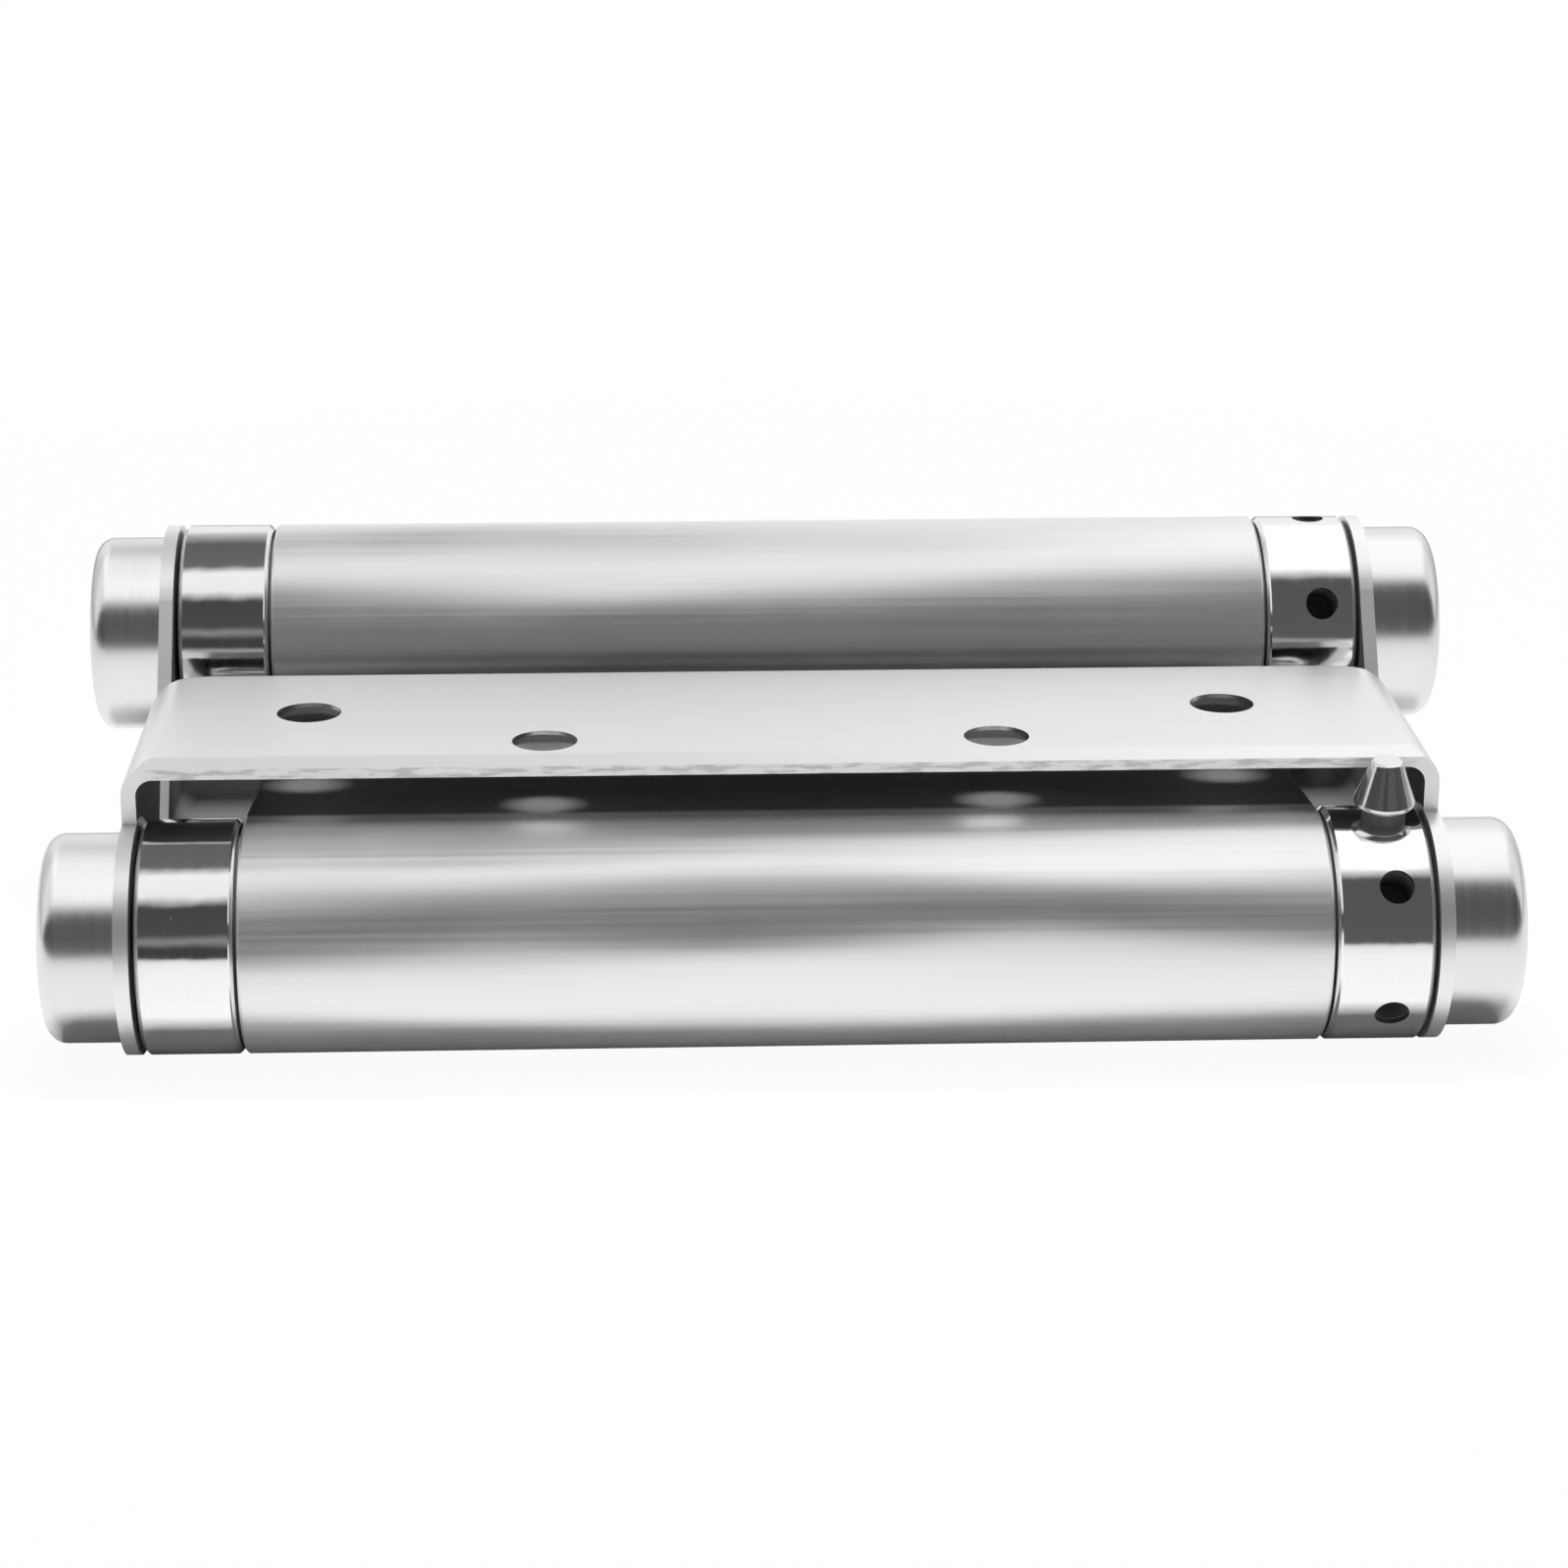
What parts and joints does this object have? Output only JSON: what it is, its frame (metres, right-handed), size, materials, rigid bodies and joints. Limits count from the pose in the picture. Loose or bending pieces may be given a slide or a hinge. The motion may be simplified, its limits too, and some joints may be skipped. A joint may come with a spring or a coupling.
{
  "type": "double action spring hinge",
  "caption": "Double action spring hinge: two plate leaves face each other across an S-shaped rolled web with a sprung barrel at each side, tension collars and end caps.",
  "frame": {"origin": "midway between the two barrel axes, at the middle of the leaves' height, with the hinge closed", "axes": "+X along the barrels towards the winding collars, +Y from the frame leaf's barrel to the door leaf's barrel, +Z square to the leaves on the frame leaf's outer side"},
  "size_m": [0.1398, 0.0688, 0.0388],
  "materials": {
    "satin_steel": "satin, fine lengthwise grain",
    "polished_steel": "polished",
    "cap_steel": "fine satin",
    "spring_steel": "plain drawn wire",
    "washer_steel": "plain",
    "spindle_steel": "plain turned"
  },
  "bodies": {
    "frame_side": {"frame_leaf": "satin_steel", "frame_spindle": "spindle_steel", "frame_cap_left": "cap_steel", "frame_cap_right": "cap_steel", "frame_washer_left": "washer_steel", "frame_washer_right": "washer_steel", "frame_winding_collar": "polished_steel", "frame_tension_pin": "polished_steel"},
    "web": {"barrel_web": "satin_steel", "frame_anchor_collar": "polished_steel", "door_anchor_collar": "polished_steel", "frame_spring": "spring_steel", "door_spring": "spring_steel"},
    "door_side": {"door_leaf": "satin_steel", "door_spindle": "spindle_steel", "door_cap_left": "cap_steel", "door_cap_right": "cap_steel", "door_washer_left": "washer_steel", "door_washer_right": "washer_steel", "door_winding_collar": "polished_steel", "door_tension_pin": "polished_steel"}
  },
  "joints": [
    {"name": "frame_hinge", "type": "hinge", "parent": "frame_side", "child": "web", "pos_m": [0, -0.02325, -0.00825], "axis": [-1, 0, 0], "range_deg": [0, 120], "stiffness_Nm_per_rad": 0.9, "springref_deg": -40.11},
    {"name": "door_hinge", "type": "hinge", "parent": "web", "child": "door_side", "pos_m": [0, 0.02325, 0.00825], "axis": [1, 0, 0], "range_deg": [0, 120], "stiffness_Nm_per_rad": 0.9, "springref_deg": -40.11}
  ]
}
